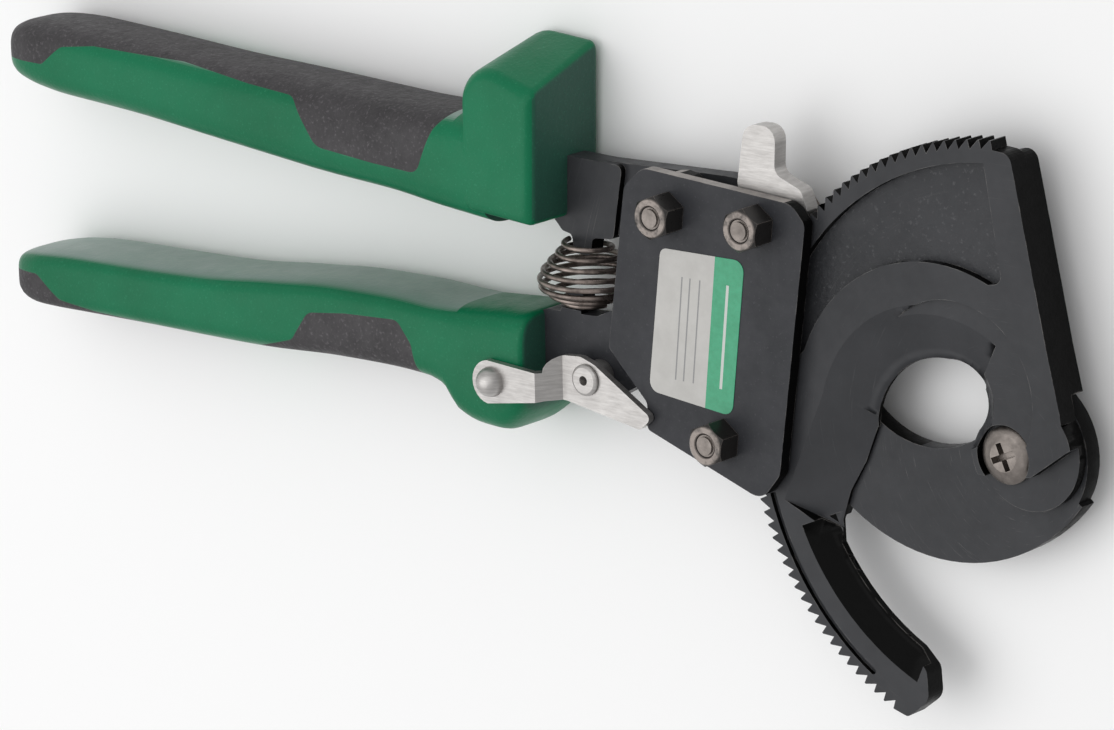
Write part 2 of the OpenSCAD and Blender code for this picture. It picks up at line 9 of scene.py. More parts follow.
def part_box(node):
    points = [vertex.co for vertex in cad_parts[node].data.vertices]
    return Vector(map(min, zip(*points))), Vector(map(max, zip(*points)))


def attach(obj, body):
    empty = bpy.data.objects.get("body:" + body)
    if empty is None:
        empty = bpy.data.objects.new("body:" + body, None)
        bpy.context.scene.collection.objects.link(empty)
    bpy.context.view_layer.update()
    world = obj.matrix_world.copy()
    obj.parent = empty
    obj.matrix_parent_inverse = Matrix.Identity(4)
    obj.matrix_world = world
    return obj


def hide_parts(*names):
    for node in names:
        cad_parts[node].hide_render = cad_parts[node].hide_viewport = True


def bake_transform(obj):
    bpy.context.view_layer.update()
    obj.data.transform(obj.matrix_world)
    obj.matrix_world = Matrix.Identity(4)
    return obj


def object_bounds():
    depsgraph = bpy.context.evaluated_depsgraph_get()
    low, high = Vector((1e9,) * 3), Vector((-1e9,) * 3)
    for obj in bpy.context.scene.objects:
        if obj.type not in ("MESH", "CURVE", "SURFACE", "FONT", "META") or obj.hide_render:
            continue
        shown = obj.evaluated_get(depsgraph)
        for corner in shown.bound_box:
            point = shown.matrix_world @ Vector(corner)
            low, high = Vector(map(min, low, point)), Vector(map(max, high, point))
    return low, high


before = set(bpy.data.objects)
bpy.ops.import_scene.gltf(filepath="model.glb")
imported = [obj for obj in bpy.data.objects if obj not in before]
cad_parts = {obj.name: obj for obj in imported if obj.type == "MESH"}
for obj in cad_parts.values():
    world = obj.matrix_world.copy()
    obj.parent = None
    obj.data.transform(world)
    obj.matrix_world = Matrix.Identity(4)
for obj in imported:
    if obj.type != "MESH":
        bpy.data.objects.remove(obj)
cad_low, cad_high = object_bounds()
scene = bpy.context.scene

# ---------------------------------------------------------------- places
# Pieces are drawn in millimetres about the blade pivot, with z = 0 on the shear plane, as in the CAD source.
MM = 0.001
PLATE_BACK_Z = -3.7
washer_low, washer_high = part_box("pivot_washer")
PIVOT = Vector((
    (washer_low.x + washer_high.x) / 2,
    (washer_low.y + washer_high.y) / 2,
    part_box("fixed_blade_frame")[0].z - PLATE_BACK_Z * MM,
))
GRIP_Z = 1.7
GRIP_DEPTH = 10.0


def at(x, y, z):
    """A point given in millimetres about the pivot, in the row frame's metres."""
    return PIVOT + Vector((x, y, z)) * MM


# ---------------------------------------------------------------- camera, light, floor
CAMERA_AT = (470.9, 239.9, 666.1)
CAMERA_AIM = (-98.9, -0.1, 4.0)
CAMERA_ROLL = math.radians(-108.2)
LENS = 161.6


def make_camera():
    data = bpy.data.cameras.new("camera")
    data.sensor_width = 36.0
    data.lens = LENS
    data.clip_start = 0.05
    data.clip_end = 20.0
    camera = bpy.data.objects.new("camera", data)
    scene.collection.objects.link(camera)
    position = at(*CAMERA_AT)
    look = (at(*CAMERA_AIM) - position).to_track_quat("-Z", "Y")
    turn = Matrix.Rotation(CAMERA_ROLL, 4, "Z")
    camera.matrix_world = Matrix.Translation(position) @ look.to_matrix().to_4x4() @ turn
    scene.camera = camera


LIGHT_AIM = (-90, 10, 0)
# name, place in millimetres about the pivot, size in metres, power in watts
LIGHTS = [
    ("key", (-420, -60, 780), 1.0, 2.6),
    ("fill", (60, 420, 900), 1.2, 1.6),
]


def make_area(name, place, size, power):
    data = bpy.data.lights.new(name, "AREA")
    data.shape = "DISK"
    data.size = size
    data.energy = power
    light = bpy.data.objects.new(name, data)
    scene.collection.objects.link(light)
    position = at(*place)
    light.matrix_world = Matrix.Translation(position) @ (
        (at(*LIGHT_AIM) - position).to_track_quat("-Z", "Y").to_matrix().to_4x4())


# the sky is dark on one side and bright towards this direction
SKY_TOWARDS = (-0.42, 0.12, 0.90)
SKY_DARK, SKY_DARK_AT = (0.45, 0.45, 0.46, 1), 0.1
SKY_BRIGHT, SKY_BRIGHT_AT = (1.0, 1.0, 1.0, 1), 0.75
SKY_STRENGTH = 0.72


def make_world():
    world = bpy.data.worlds.new("studio")
    scene.world = world
    world.use_nodes = True
    nodes, links = world.node_tree.nodes, world.node_tree.links
    background = nodes["Background"]
    coords = nodes.new("ShaderNodeTexCoord")
    dot = nodes.new("ShaderNodeVectorMath")
    dot.operation = "DOT_PRODUCT"
    dot.inputs[1].default_value = SKY_TOWARDS
    ramp = nodes.new("ShaderNodeValToRGB")
    ramp.color_ramp.elements[0].position = SKY_DARK_AT
    ramp.color_ramp.elements[0].color = SKY_DARK
    ramp.color_ramp.elements[1].position = SKY_BRIGHT_AT
    ramp.color_ramp.elements[1].color = SKY_BRIGHT
    half = nodes.new("ShaderNodeMapRange")
    half.inputs["From Min"].default_value = -1
    links.new(coords.outputs["Generated"], dot.inputs[0])
    links.new(dot.outputs["Value"], half.inputs["Value"])
    links.new(half.outputs["Result"], ramp.inputs["Fac"])
    links.new(ramp.outputs["Color"], background.inputs["Color"])
    background.inputs["Strength"].default_value = SKY_STRENGTH


# half the floor's side and its drop below the object, in metres
FLOOR_SIDE = 3.0
FLOOR_DROP = 0.0002


def make_floor():
    mesh = bpy.data.meshes.new("floor")
    z = cad_low.z - FLOOR_DROP
    corners = [(x * FLOOR_SIDE, y * FLOOR_SIDE, z) for x, y in ((-1, -1), (1, -1), (1, 1), (-1, 1))]
    mesh.from_pydata(corners, [], [(0, 1, 2, 3)])
    floor = bpy.data.objects.new("floor", mesh)
    scene.collection.objects.link(floor)
    mesh.materials.append(floor_paper())


# ---------------------------------------------------------------- material tools
class Nodes:
    """A short way to write one material's node tree."""

    def __init__(self, name, colour, roughness, metallic=0.0, specular=0.5, coat=0.0, coat_roughness=0.2):
        self.material = bpy.data.materials.new(name)
        self.material.use_nodes = True
        self.tree = self.material.node_tree
        self.shader = self.tree.nodes["Principled BSDF"]
        self.shader.inputs["Base Color"].default_value = (*colour, 1)
        self.shader.inputs["Roughness"].default_value = roughness
        self.shader.inputs["Metallic"].default_value = metallic
        self.shader.inputs["Specular IOR Level"].default_value = specular
        self.shader.inputs["Coat Weight"].default_value = coat
        self.shader.inputs["Coat Roughness"].default_value = coat_roughness
        self.coords = self.tree.nodes.new("ShaderNodeTexCoord").outputs["Object"]

    def node(self, kind, inputs=None, **settings):
        made = self.tree.nodes.new(kind)
        for key, value in settings.items():
            setattr(made, key, value)
        for key, value in (inputs or {}).items():
            if isinstance(value, bpy.types.NodeSocket):
                self.tree.links.new(value, made.inputs[key])
            else:
                made.inputs[key].default_value = value
        return made

    def noise(self, scale, detail=4.0, roughness=0.6, vector=None):
        made = self.node("ShaderNodeTexNoise", {
            "Vector": vector or self.coords, "Scale": scale, "Detail": detail, "Roughness": roughness})
        return made.outputs["Fac"]

    def cells(self, scale):
        made = self.node("ShaderNodeTexVoronoi", {"Vector": self.coords, "Scale": scale})
        return made.outputs["Distance"]

    def stretch(self, x, y, z):
        made = self.node("ShaderNodeMapping", {"Vector": self.coords, "Scale": (x, y, z)})
        return made.outputs["Vector"]

    def remap(self, value, low, high, to_low=0.0, to_high=1.0):
        made = self.node("ShaderNodeMapRange", {
            "Value": value, "From Min": low, "From Max": high, "To Min": to_low, "To Max": to_high})
        return made.outputs["Result"]

    def math(self, operation, first, second=0.0, third=0.0, clamp=False):
        made = self.node(
            "ShaderNodeMath", {0: first, 1: second, 2: third}, operation=operation, use_clamp=clamp)
        return made.outputs[0]

    def mix(self, factor, first, second):
        made = self.node("ShaderNodeMix", data_type="RGBA")
        for index, value in ((0, factor), (6, first), (7, second)):
            if isinstance(value, bpy.types.NodeSocket):
                self.tree.links.new(value, made.inputs[index])
            else:
                made.inputs[index].default_value = value if index == 0 else (*value, 1)
        return made.outputs[2]

    def edges(self, radius, low=0.02, high=0.25):
        """1 on convex and concave edges, from the difference between the true and the rounded normal."""
        rounded = self.node("ShaderNodeBevel", {"Radius": radius}, samples=6).outputs["Normal"]
        true = self.node("ShaderNodeNewGeometry").outputs["Normal"]
        return self.remap(self.dot(rounded, true), 1 - low, 1 - high)

    def dot(self, first, second):
        made = self.node("ShaderNodeVectorMath", {0: first, 1: second}, operation="DOT_PRODUCT")
        return made.outputs["Value"]

    def facing(self, direction, low, high):
        """0 to 1 as the surface turns towards a direction."""
        normal = self.node("ShaderNodeNewGeometry").outputs["True Normal"]
        return self.remap(self.dot(normal, direction), low, high)

    def place(self):
        """x, y and z of the surface point about the pivot, in millimetres."""
        moved = self.node("ShaderNodeVectorMath", {0: self.coords, 1: PIVOT}, operation="SUBTRACT")
        scaled = self.node("ShaderNodeVectorMath", {0: moved.outputs[0], "Scale": 1 / MM}, operation="SCALE")
        split = self.node("ShaderNodeSeparateXYZ", {0: scaled.outputs[0]})
        return split.outputs[0], split.outputs[1], split.outputs[2]

    def bump(self, height, strength, distance):
        inputs = {"Height": height, "Strength": strength, "Distance": distance}
        return self.node("ShaderNodeBump", inputs).outputs["Normal"]

    def finish(self, colour=None, roughness=None, normal=None):
        for key, value in (("Base Color", colour), ("Roughness", roughness), ("Normal", normal)):
            if value is not None:
                self.tree.links.new(value, self.shader.inputs[key])
        return self.material


# in millimetres: above this y the plates' edges facing +Y are painted pale, as bare steel with a painted
# reflection
BARE_AND_REFLECTION_Y = 36.0
# the forged pocket's floor, how far from it the cast texture reaches, and where the pocket begins
POCKET_Z, POCKET_BAND = 2.8, 0.15
POCKET_INNER_R, POCKET_FROM_Y = 27.0, 5.0
# the nuts' upper faces are rubbed bare between these heights
NUT_TOP_LOW, NUT_TOP_HIGH = 12.15, 12.38


def floor_paper():
    m = Nodes("floor_paper", (0.9, 0.9, 0.9), 0.9, specular=0.1)
    shade = m.mix(m.noise(3.0), (0.9, 0.9, 0.9), (0.92, 0.92, 0.92))
    return m.finish(colour=shade)


def black_steel():
    """Satin black finish with fine pits, edge wear that also stands in as painted highlight, and a pale
    sheared edge along the top, bare steel with a painted reflection; the sides' painted shade is a separate
    material.
    """
    m = Nodes("black_steel", (0.03, 0.03, 0.034), 0.46, specular=0.22)
    base = m.mix(m.remap(m.noise(90.0), 0.35, 0.7), (0.026, 0.027, 0.031), (0.037, 0.038, 0.043))
    fleck = m.remap(m.noise(1700.0, 2.0), 0.62, 0.74)
    base = m.mix(m.math("MULTIPLY", fleck, 0.25), base, (0.10, 0.10, 0.11))
    # edge wear, lightened also to stand in as painted highlight lines along the edges
    wear_and_highlight = m.math("MULTIPLY", m.edges(0.0003), m.remap(m.noise(350.0), 0.45, 0.65), clamp=True)
    base = m.mix(m.math("MULTIPLY", wear_and_highlight, 0.6), base, (0.26, 0.25, 0.24))
    # the sheared top edge: faces turned towards +Y painted pale, as bare steel and as a painted reflection
    high = m.math("GREATER_THAN", m.place()[1], BARE_AND_REFLECTION_Y)
    top = m.math("MULTIPLY", m.facing((0, 1, 0), 0.8, 0.95), high)
    bare_and_reflection = m.math("MULTIPLY", top, m.remap(m.noise(200.0), 0.3, 0.6, 0.45, 0.9))
    base = m.mix(bare_and_reflection, base, (0.36, 0.33, 0.31))
    rough = m.remap(m.noise(500.0), 0.3, 0.7, 0.38, 0.54)
    pits = m.math("MULTIPLY", m.noise(1500.0, 3.0), 0.6)
    height = m.math("ADD", pits, m.math("MULTIPLY", m.noise(250.0), 0.8))
    return m.finish(colour=base, roughness=rough, normal=m.bump(height, 0.3, 0.0001))


def blade_steel(name, scratches, pocket):
    """Black blade steel: turned scratches about the pivot, and a cast texture in the forged pocket."""
    m = Nodes(name, (0.03, 0.03, 0.034), 0.44, specular=0.22)
    x, y, z = m.place()
    radius = m.math("POWER", m.math("ADD", m.math("MULTIPLY", x, x), m.math("MULTIPLY", y, y)), 0.5)
    angle = m.math("ARCTAN2", y, x)
    polar = m.node("ShaderNodeCombineXYZ", {
        0: m.math("MULTIPLY", radius, 3.0), 1: m.math("MULTIPLY", angle, 2.2)})
    rings = m.noise(1.0, 6.0, 0.75, vector=polar.outputs[0])
    base = m.mix(m.remap(m.noise(60.0), 0.3, 0.7), (0.027, 0.028, 0.031), (0.040, 0.041, 0.045))
    line = m.math("MULTIPLY", m.remap(rings, 0.60, 0.72), scratches, clamp=True)
    base = m.mix(line, base, (0.15, 0.147, 0.145))
    # edge wear, lightened also to stand in as painted highlight lines along the edges
    wear_and_highlight = m.math("MULTIPLY", m.edges(0.0003), m.remap(m.noise(350.0), 0.42, 0.62), clamp=True)
    base = m.mix(m.math("MULTIPLY", wear_and_highlight, 0.6), base, (0.24, 0.23, 0.22))
    grain = m.math("MULTIPLY", m.noise(1300.0, 3.0), 0.5)
    height = m.math("ADD", grain, m.math("MULTIPLY", rings, 0.5 * scratches))
    if pocket:
        above = m.math("GREATER_THAN", z, POCKET_Z - POCKET_BAND)
        level = m.math("MULTIPLY", above, m.math("LESS_THAN", z, POCKET_Z + POCKET_BAND))
        level = m.math("MULTIPLY", level, m.facing((0, 0, 1), 0.97, 0.99))
        outer = m.math("MULTIPLY", level, m.math("GREATER_THAN", radius, POCKET_INNER_R))
        upper = m.math("MULTIPLY", outer, m.math("GREATER_THAN", y, POCKET_FROM_Y))
        cast = m.math("ADD", m.noise(900.0, 5.0, 0.7), m.math("MULTIPLY", m.cells(760.0), 0.5))
        height = m.math("MULTIPLY_ADD", m.math("MULTIPLY", upper, cast), 3.0, height)
        glint = m.math("MULTIPLY", upper, m.remap(m.noise(1300.0, 3.0), 0.6, 0.72), clamp=True)
        base = m.mix(m.math("MULTIPLY", glint, 0.16), base, (0.25, 0.25, 0.26))
    rough = m.remap(m.noise(420.0), 0.3, 0.7, 0.36, 0.5)
    return m.finish(colour=base, roughness=rough, normal=m.bump(height, 0.3, 0.00015))


def painted_shade_sides():
    """The same black finish, darkened as painted shade on the blades' and plates' sides towards the jaws,
    with edge wear that also stands in as painted highlight.
    """
    m = Nodes("painted_shade_sides", (0.003, 0.003, 0.003), 0.4, specular=0.05)
    # edge wear, lightened also to stand in as painted highlight lines along the edges
    wear_and_highlight = m.math("MULTIPLY", m.edges(0.0003), m.remap(m.noise(350.0), 0.45, 0.62), clamp=True)
    base = m.mix(m.math("MULTIPLY", wear_and_highlight, 0.7), (0.003, 0.003, 0.003), (0.20, 0.19, 0.18))
    height = m.math("ADD", m.noise(1300.0, 3.0), m.noise(260.0))
    return m.finish(colour=base, roughness=m.remap(m.noise(500.0), 0.3, 0.7, 0.3, 0.5),
                    normal=m.bump(height, 0.4, 0.00012))


def bare_steel():
    """Warm grey machined steel with turning marks."""
    m = Nodes("bare_steel", (0.3, 0.27, 0.245), 0.38, metallic=0.9)
    cloud = m.remap(m.noise(300.0), 0.3, 0.7)
    base = m.mix(cloud, (0.13, 0.115, 0.105), (0.27, 0.24, 0.22))
    rough = m.remap(m.noise(900.0), 0.3, 0.7, 0.3, 0.5)
    return m.finish(colour=base, roughness=rough, normal=m.bump(m.noise(1800.0, 3.0), 0.25, 0.0001))


def black_oxide():
    """Oil-blackened nuts whose crests and upper faces are rubbed back to warm steel."""
    m = Nodes("black_oxide", (0.05, 0.045, 0.042), 0.35, metallic=0.5)
    z = m.place()[2]
    top = m.remap(z, NUT_TOP_LOW, NUT_TOP_HIGH)
    rubbed = m.math("MAXIMUM", m.edges(0.00035), m.math("MULTIPLY", top, m.remap(m.noise(500.0), 0.3, 0.55)))
    base = m.mix(m.math("MULTIPLY", rubbed, 0.85, clamp=True), (0.030, 0.028, 0.027), (0.30, 0.26, 0.235))
    return m.finish(colour=base, roughness=m.remap(m.noise(700.0), 0.3, 0.7, 0.25, 0.45),
                    normal=m.bump(m.noise(1200.0, 3.0), 0.2, 0.0001))


def zinc():
    """Bright zinc plate, faintly brushed."""
    m = Nodes("zinc", (0.66, 0.64, 0.62), 0.36, metallic=0.85)
    streak = m.noise(260.0, 5.0, 0.7, vector=m.stretch(1.0, 9.0, 1.0))
    base = m.mix(m.remap(streak, 0.3, 0.7), (0.37, 0.355, 0.345), (0.54, 0.525, 0.51))
    dull = m.math("MULTIPLY", m.edges(0.0003), 0.4, clamp=True)
    base = m.mix(dull, base, (0.70, 0.69, 0.67))
    return m.finish(colour=base, roughness=m.remap(m.noise(380.0), 0.3, 0.7, 0.3, 0.46),
                    normal=m.bump(m.math("ADD", streak, m.noise(1500.0)), 0.16, 0.0001))


def spring_wire():
    """Oil-tempered brown-grey wire with fine drawing lines."""
    m = Nodes("spring_wire", (0.2, 0.165, 0.15), 0.32, metallic=0.85)
    base = m.mix(m.remap(m.noise(420.0), 0.35, 0.65), (0.11, 0.09, 0.08), (0.30, 0.25, 0.225))
    return m.finish(colour=base, roughness=m.remap(m.noise(900.0), 0.3, 0.7, 0.24, 0.42),
                    normal=m.bump(m.noise(2200.0, 2.0), 0.2, 0.0001))


# the grips' upper sides carry a painted sheen up to this x, just short of the hand guard
PAINTED_SHEEN_X = -118.0


def green_plastic():
    """Moulded green grip: fine spark-eroded grain and faint flow clouds, a painted sheen on the upper sides,
    and painted shade with a grey sheen on the sides towards +X.
    """
    m = Nodes("green_plastic", (0.004, 0.18, 0.075), 0.38, specular=0.2)
    cloud = m.remap(m.noise(38.0, 3.0), 0.3, 0.7)
    base = m.mix(cloud, (0.001, 0.122, 0.050), (0.002, 0.156, 0.067))
    # painted sheen: a pale grey haze laid on faces turned towards +Y
    painted_sheen = m.math("MULTIPLY", m.facing((0, 1, 0), 0.8, 0.95), m.remap(m.noise(25.0), 0.3, 0.6, 0.6, 0.85))
    painted_sheen = m.math("MULTIPLY", painted_sheen, m.math("LESS_THAN", m.place()[0], PAINTED_SHEEN_X))
    base = m.mix(painted_sheen, base, (0.26, 0.32, 0.30))
    # painted shade and grey sheen: faces turned towards +X are darkened to a dull grey green
    base = m.mix(m.math("MULTIPLY", m.facing((1, 0, 0), 0.8, 0.97), 0.7), base, (0.035, 0.058, 0.060))
    speck = m.remap(m.noise(2300.0, 2.0), 0.60, 0.74)
    base = m.mix(m.math("MULTIPLY", speck, 0.2), base, (0.06, 0.36, 0.20))
    rubbed = m.math("MULTIPLY", m.edges(0.0006), m.remap(m.noise(500.0), 0.45, 0.65), clamp=True)
    base = m.mix(m.math("MULTIPLY", rubbed, 0.35), base, (0.14, 0.40, 0.25))
    grain = m.math("ADD", m.noise(1500.0, 3.0, 0.55), m.math("MULTIPLY", m.cells(1150.0), 0.6))
    return m.finish(colour=base, roughness=m.remap(m.noise(260.0), 0.3, 0.7, 0.30, 0.42),
                    normal=m.bump(grain, 0.32, 0.00014))


def grey_rubber():
    """Soft dark grey inlay with a coarser, paler-peaked grain."""
    m = Nodes("grey_rubber", (0.07, 0.066, 0.07), 0.62, specular=0.4)
    cells = m.cells(1000.0)
    base = m.mix(m.remap(m.noise(120.0), 0.3, 0.7), (0.026, 0.024, 0.026), (0.045, 0.042, 0.045))
    peak = m.remap(m.noise(1600.0, 3.0), 0.56, 0.72)
    base = m.mix(m.math("MULTIPLY", peak, 0.6), base, (0.13, 0.12, 0.13))
    height = m.math("ADD", m.noise(1400.0, 3.0), m.math("MULTIPLY", cells, 0.9))
    return m.finish(colour=base, roughness=m.remap(m.noise(600.0), 0.3, 0.7, 0.52, 0.72),
                    normal=m.bump(height, 0.45, 0.0002))


# the label's coloured band starts on this line, in millimetres about the pivot
BAND_TOP = (-59.1, 26.7)
BAND_FOOT = (-61.7, -1.1)
# the dark rules' distances before that line, their ends in y and half their width
RULES = (3.0, 5.2, 7.0)
RULE_FOOT, RULE_TOP, RULE_HALF = 3.0, 22.0, 0.16
# the pale rule in the band: its distance past that line and half its width
PALE_RULE, PALE_HALF = 3.2, 0.3


def label_film():
    """Off-white film with a green band and a few plain rules, and no lettering."""
    m = Nodes("label_film", (0.8, 0.8, 0.78), 0.34, specular=0.5, coat=0.2, coat_roughness=0.2)
    x, y, _ = m.place()
    slope = (BAND_TOP[0] - BAND_FOOT[0]) / (BAND_TOP[1] - BAND_FOOT[1])
    across = m.math("SUBTRACT", x, m.math("MULTIPLY_ADD", y, slope, BAND_FOOT[0] - BAND_FOOT[1] * slope))
    band = m.math("GREATER_THAN", across, 0.0)
    paper = m.mix(m.remap(m.noise(220.0), 0.3, 0.7), (0.42, 0.41, 0.39), (0.48, 0.47, 0.45))
    green = m.mix(m.remap(m.noise(900.0), 0.3, 0.7), (0.012, 0.27, 0.125), (0.025, 0.33, 0.165))
    base = m.mix(band, paper, green)
    inside = m.math("MULTIPLY", m.math("GREATER_THAN", y, RULE_FOOT), m.math("LESS_THAN", y, RULE_TOP))
    for offset in RULES:
        near = m.math("LESS_THAN", m.math("ABSOLUTE", m.math("ADD", across, offset)), RULE_HALF)
        base = m.mix(m.math("MULTIPLY", near, inside), base, (0.22, 0.22, 0.22))
    light = m.math("LESS_THAN", m.math("ABSOLUTE", m.math("SUBTRACT", across, PALE_RULE)), PALE_HALF)
    base = m.mix(m.math("MULTIPLY", light, inside), base, (0.50, 0.53, 0.50))
    return m.finish(colour=base, normal=m.bump(m.noise(1500.0), 0.08, 0.0001))


# ---------------------------------------------------------------- mesh tools
def add_piece(name, points, faces, material, smooth_angle=35.0):
    """A mesh piece from points in millimetres about the pivot."""
    mesh = bpy.data.meshes.new(name)
    mesh.from_pydata([at(*p) for p in points], [], faces)
    mesh.validate()
    mesh.shade_smooth()
    piece = bpy.data.objects.new(name, mesh)
    scene.collection.objects.link(piece)
    if material is not None:
        mesh.materials.append(material)
    mesh.set_sharp_from_angle(angle=math.radians(smooth_angle))
    return piece


def apply_modifiers(piece):
    depsgraph = bpy.context.evaluated_depsgraph_get()
    mesh = bpy.data.meshes.new_from_object(piece.evaluated_get(depsgraph))
    piece.modifiers.clear()
    piece.data = mesh
    return piece


def combine(piece, other, operation, keep_other=False):
    """Applies a boolean of piece with other, which is removed unless it is kept."""
    modifier = piece.modifiers.new("combine", "BOOLEAN")
    modifier.operation = operation
    modifier.object = other
    modifier.solver = "EXACT"
    apply_modifiers(piece)
    if not keep_other:
        bpy.data.objects.remove(other)
    return piece


def soften(piece, width, segments=3, angle=40.0):
    """Rounds a piece's sharp edges by a real bevel, width in millimetres."""
    modifier = piece.modifiers.new("round", "BEVEL")
    modifier.width = width * MM
    modifier.segments = segments
    modifier.limit_method = "ANGLE"
    modifier.angle_limit = math.radians(angle)
    modifier.use_clamp_overlap = True
    apply_modifiers(piece)
    piece.data.shade_smooth()
    piece.data.set_sharp_from_angle(angle=math.radians(angle))
    return piece


def eased(knots, values, x):
    """Monotone cubic through values at knots, so that a grip swells and thins without overshoot."""
    knots, values = np.asarray(knots, float), np.asarray(values, float)
    step = np.diff(knots)
    slope = np.diff(values) / step
    tangent = np.zeros_like(values)
    tangent[0], tangent[-1] = slope[0], slope[-1]
    for i in range(1, len(values) - 1):
        if slope[i - 1] * slope[i] > 0:
            w1, w2 = 2 * step[i] + step[i - 1], step[i] + 2 * step[i - 1]
            tangent[i] = (w1 + w2) / (w1 / slope[i - 1] + w2 / slope[i])
    i = np.clip(np.searchsorted(knots, x) - 1, 0, len(step) - 1)
    t = (x - knots[i]) / step[i]
    return ((2 * t**3 - 3 * t**2 + 1) * values[i] + (t**3 - 2 * t**2 + t) * step[i] * tangent[i]
            + (3 * t**2 - 2 * t**3) * values[i + 1] + (t**3 - t**2) * step[i] * tangent[i + 1])


def skin(rings):
    """Points and faces of a closed skin over rings that all have the same number of points."""
    count = len(rings[0])
    points = [p for ring in rings for p in ring]
    faces = []
    for start in range(0, (len(rings) - 1) * count, count):
        for k in range(count):
            after = (k + 1) % count
            faces.append([start + k, start + after, start + count + after, start + count + k])
    faces.append(list(range(count))[::-1])
    faces.append([(len(rings) - 1) * count + k for k in range(count)])
    return points, faces


def rounded_outline(corners, steps=6):
    """A closed outline from (x, y, radius) corners, with each corner cut to an arc."""
    outline = []
    for i, (x, y, radius) in enumerate(corners):
        p = Vector((x, y))
        if radius == 0:
            outline.append((x, y))
            continue
        u = (Vector(corners[i - 1][:2]) - p).normalized()
        v = (Vector(corners[(i + 1) % len(corners)][:2]) - p).normalized()
        half = u.angle(v) / 2
        centre = p + (u + v).normalized() * radius / math.sin(half)
        start = p + u * radius / math.tan(half) - centre
        end = p + v * radius / math.tan(half) - centre
        sweep = math.copysign(math.pi - 2 * half, start.x * end.y - start.y * end.x)
        for k in range(steps + 1):
            a = sweep * k / steps
            outline.append((centre.x + start.x * math.cos(a) - start.y * math.sin(a),
                            centre.y + start.x * math.sin(a) + start.y * math.cos(a)))
    return outline


def prism(name, outline, low, high):
    area = sum(a[0] * b[1] - b[0] * a[1] for a, b in zip(outline, outline[1:] + outline[:1]))
    if area < 0:
        outline = outline[::-1]
    points, faces = skin([[(x, y, z) for x, y in outline] for z in (low, high)])
    return add_piece(name, points, faces, None)


# ---------------------------------------------------------------- grips
RING_POINTS = 88
RING_STEP = 1.3
# extra rings just inside the grip's rounded end
END_STEPS = (0.25, 0.6)
# exponents of the sections, the moving grip's rounded front end, and the rounding of seams
UPPER_SQUARE, LOWER_SQUARE = 0.62, 0.5
LOWER_END_ROUND = 1.2
SEAM_ROUND = 0.3
# x, y of the section's centre, half height, half depth
UPPER_STATIONS = [
    (-236.5, 42.4, 1.4, 2.6), (-235.9, 42.5, 3.2, 4.6), (-234.4, 42.6, 4.8, 6.6), (-231, 42.6, 6.0, 8.4),
    (-226, 42.4, 6.7, 9.5), (-219, 42.0, 7.1, 10), (-200, 40.9, 7.2, 10), (-180, 39.3, 7.6, 10),
    (-165, 38.3, 8.1, 10), (-150, 37.3, 8.5, 10), (-135, 36.5, 8.6, 10), (-122, 35.7, 9.3, 10),
    (-110, 35.0, 9.7, 10)]
LOWER_STATIONS = [
    (-237.2, -2.5, 0.9, 2.6), (-236.5, -2.6, 2.7, 4.8), (-235.0, -2.6, 4.1, 6.8), (-232, -2.6, 5.2, 8.4),
    (-227, -2.3, 5.8, 9.6), (-218, -1.8, 6.1, 10), (-200, -1.3, 6.2, 10), (-182, -0.8, 6.5, 10),
    (-165, 0.3, 7.2, 10), (-148, 1.6, 7.4, 10), (-134, 1.9, 7.4, 10), (-126, 1.6, 7.4, 10),
    (-121, 0.9, 8.1, 10), (-117.5, -1.2, 10.4, 10), (-113, -1.7, 11.3, 10), (-108, -1.6, 11.6, 10),
    (-104, -0.4, 10.6, 10), (-101, 1.4, 8.9, 9.6)]


def grip_rings(stations, square, end_round):
    """Superellipse rings along X. square is the exponent: 1 is an ellipse, 0 a rectangle."""
    columns = list(zip(*stations))
    xs = np.arange(stations[0][0], stations[-1][0], RING_STEP)
    ends = [stations[0][0] + step for step in END_STEPS] + [stations[-1][0]]
    xs = sorted(set(np.round(np.concatenate([xs, ends]), 3)))
    insets = [(x, 0.0) for x in xs if x < stations[-1][0] - end_round]
    steps = 5
    for k in range(steps + 1):
        a = math.pi / 2 * k / steps
        insets.append((stations[-1][0] - end_round * (1 - math.sin(a)), end_round * (1 - math.cos(a))))
    rings = []
    for x, inset in insets:
        centre, height, depth = (float(eased(columns[0], columns[i], x)) for i in (1, 2, 3))
        height, depth = height - inset, depth - inset
        ring = []
        for k in range(RING_POINTS):
            a = 2 * math.pi * k / RING_POINTS
            s, c = math.sin(a), math.cos(a)
            ring.append((x, centre + math.copysign(abs(s) ** square * height, s),
                         GRIP_Z + math.copysign(abs(c) ** square * depth, c)))
        rings.append(ring)
    return rings


def grip_body(name, stations, square, material, end_round):
    points, faces = skin(grip_rings(stations, square, end_round))
    return add_piece(name, points, faces, material, 60.0)


# the inlays' outlines, as (x, y, corner radius), and the depth range they are cut through
ZONE_LOW, ZONE_HIGH = -12.0, 16.0
UPPER_ZONE = [(-240, 41.2, 0), (-222.5, 41.6, 2), (-217.2, 45.6, 3), (-209, 46.6, 6), (-186, 46.2, 0),
              (-168, 44.4, 0), (-156.4, 43.6, 3), (-150.2, 35.0, 3.5), (-136, 33.8, 0), (-125.2, 33.3, 2.5),
              (-121.6, 42, 4), (-117.8, 47, 0), (-119, 56, 0), (-240, 60, 0)]
LOWER_ZONE = [(-172, -14, 0), (-168.4, -6.4, 3), (-158, -3.2, 3), (-153.6, 2.8, 3), (-144, 4.1, 8),
              (-131, 4.9, 2.5), (-127.6, 0.8, 3), (-124.8, -14, 0)]
END_ZONE = [(-242, -1.8, 0), (-227, -0.9, 2.5), (-220.6, -5.2, 3), (-211, -6.3, 3), (-190, -7.0, 0),
            (-190, -16, 0), (-242, -16, 0)]


